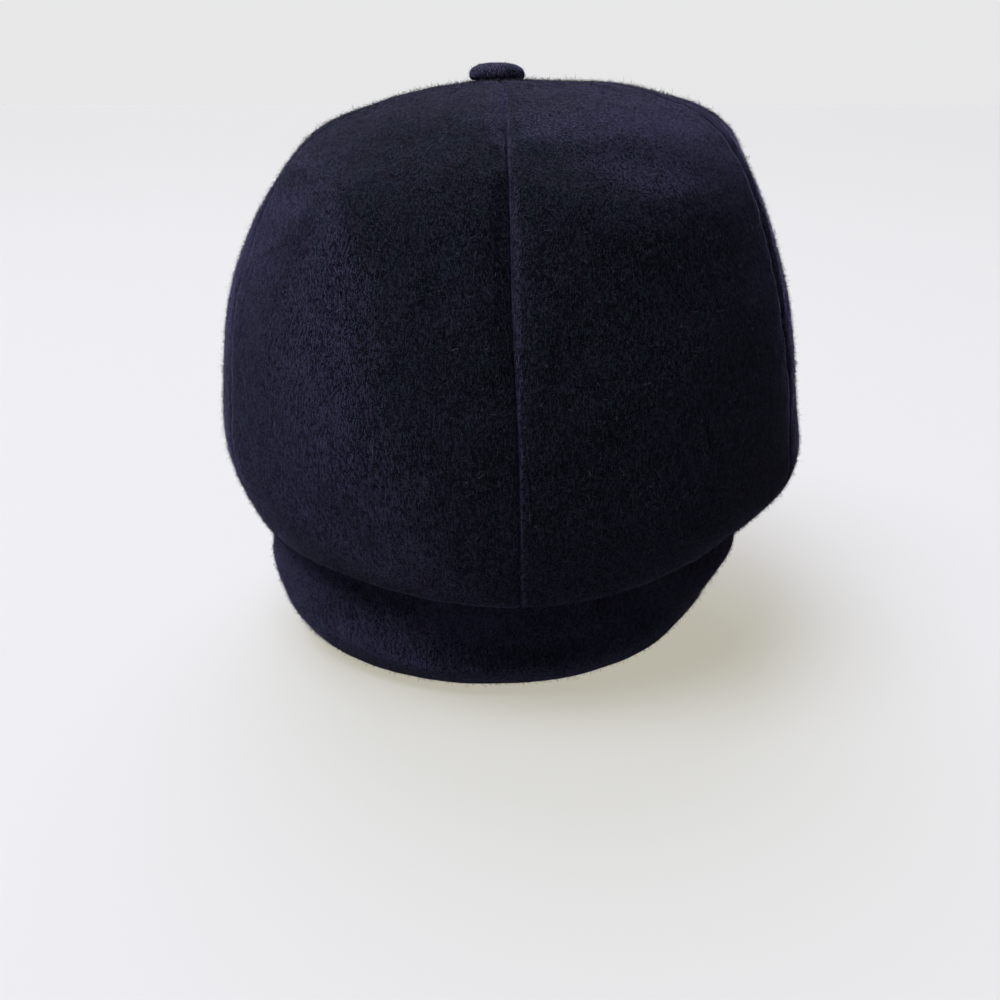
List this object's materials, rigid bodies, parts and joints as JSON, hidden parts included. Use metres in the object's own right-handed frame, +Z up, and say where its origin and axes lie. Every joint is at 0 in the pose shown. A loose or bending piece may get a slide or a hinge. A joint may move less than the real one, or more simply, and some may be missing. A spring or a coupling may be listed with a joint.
{
  "type": "earflap cap",
  "caption": "Soft brushed-wool cap with a panelled crown, covered top button, turned-down ear flap and short peak.",
  "frame": {"origin": "the top of the head that the cap is worn on, inside the crown and about 14 mm under its highest point", "axes": "+Z up, +Y towards the back of the cap, -Y towards the peak, +X towards the wearer's left"},
  "size_m": [0.2375, 0.2711, 0.2226],
  "materials": {
    "crown_wool": "brushed felted wool, dark navy, soft nap",
    "button_wool": "brushed felted wool stretched over a button mould, dark navy",
    "flap_wool": "brushed felted wool, dark navy, soft nap",
    "peak_wool": "brushed felted wool over a stiffener, dark navy",
    "band_cloth": "plain woven band cloth, near black"
  },
  "bodies": {
    "root": {"crown_back_left": "crown_wool", "crown_side_left": "crown_wool", "crown_front_left": "crown_wool", "crown_front_right": "crown_wool", "crown_side_right": "crown_wool", "crown_back_right": "crown_wool", "top_button": "button_wool", "head_band": "band_cloth", "ear_flap": "flap_wool", "peak": "peak_wool"}
  },
  "joints": []
}
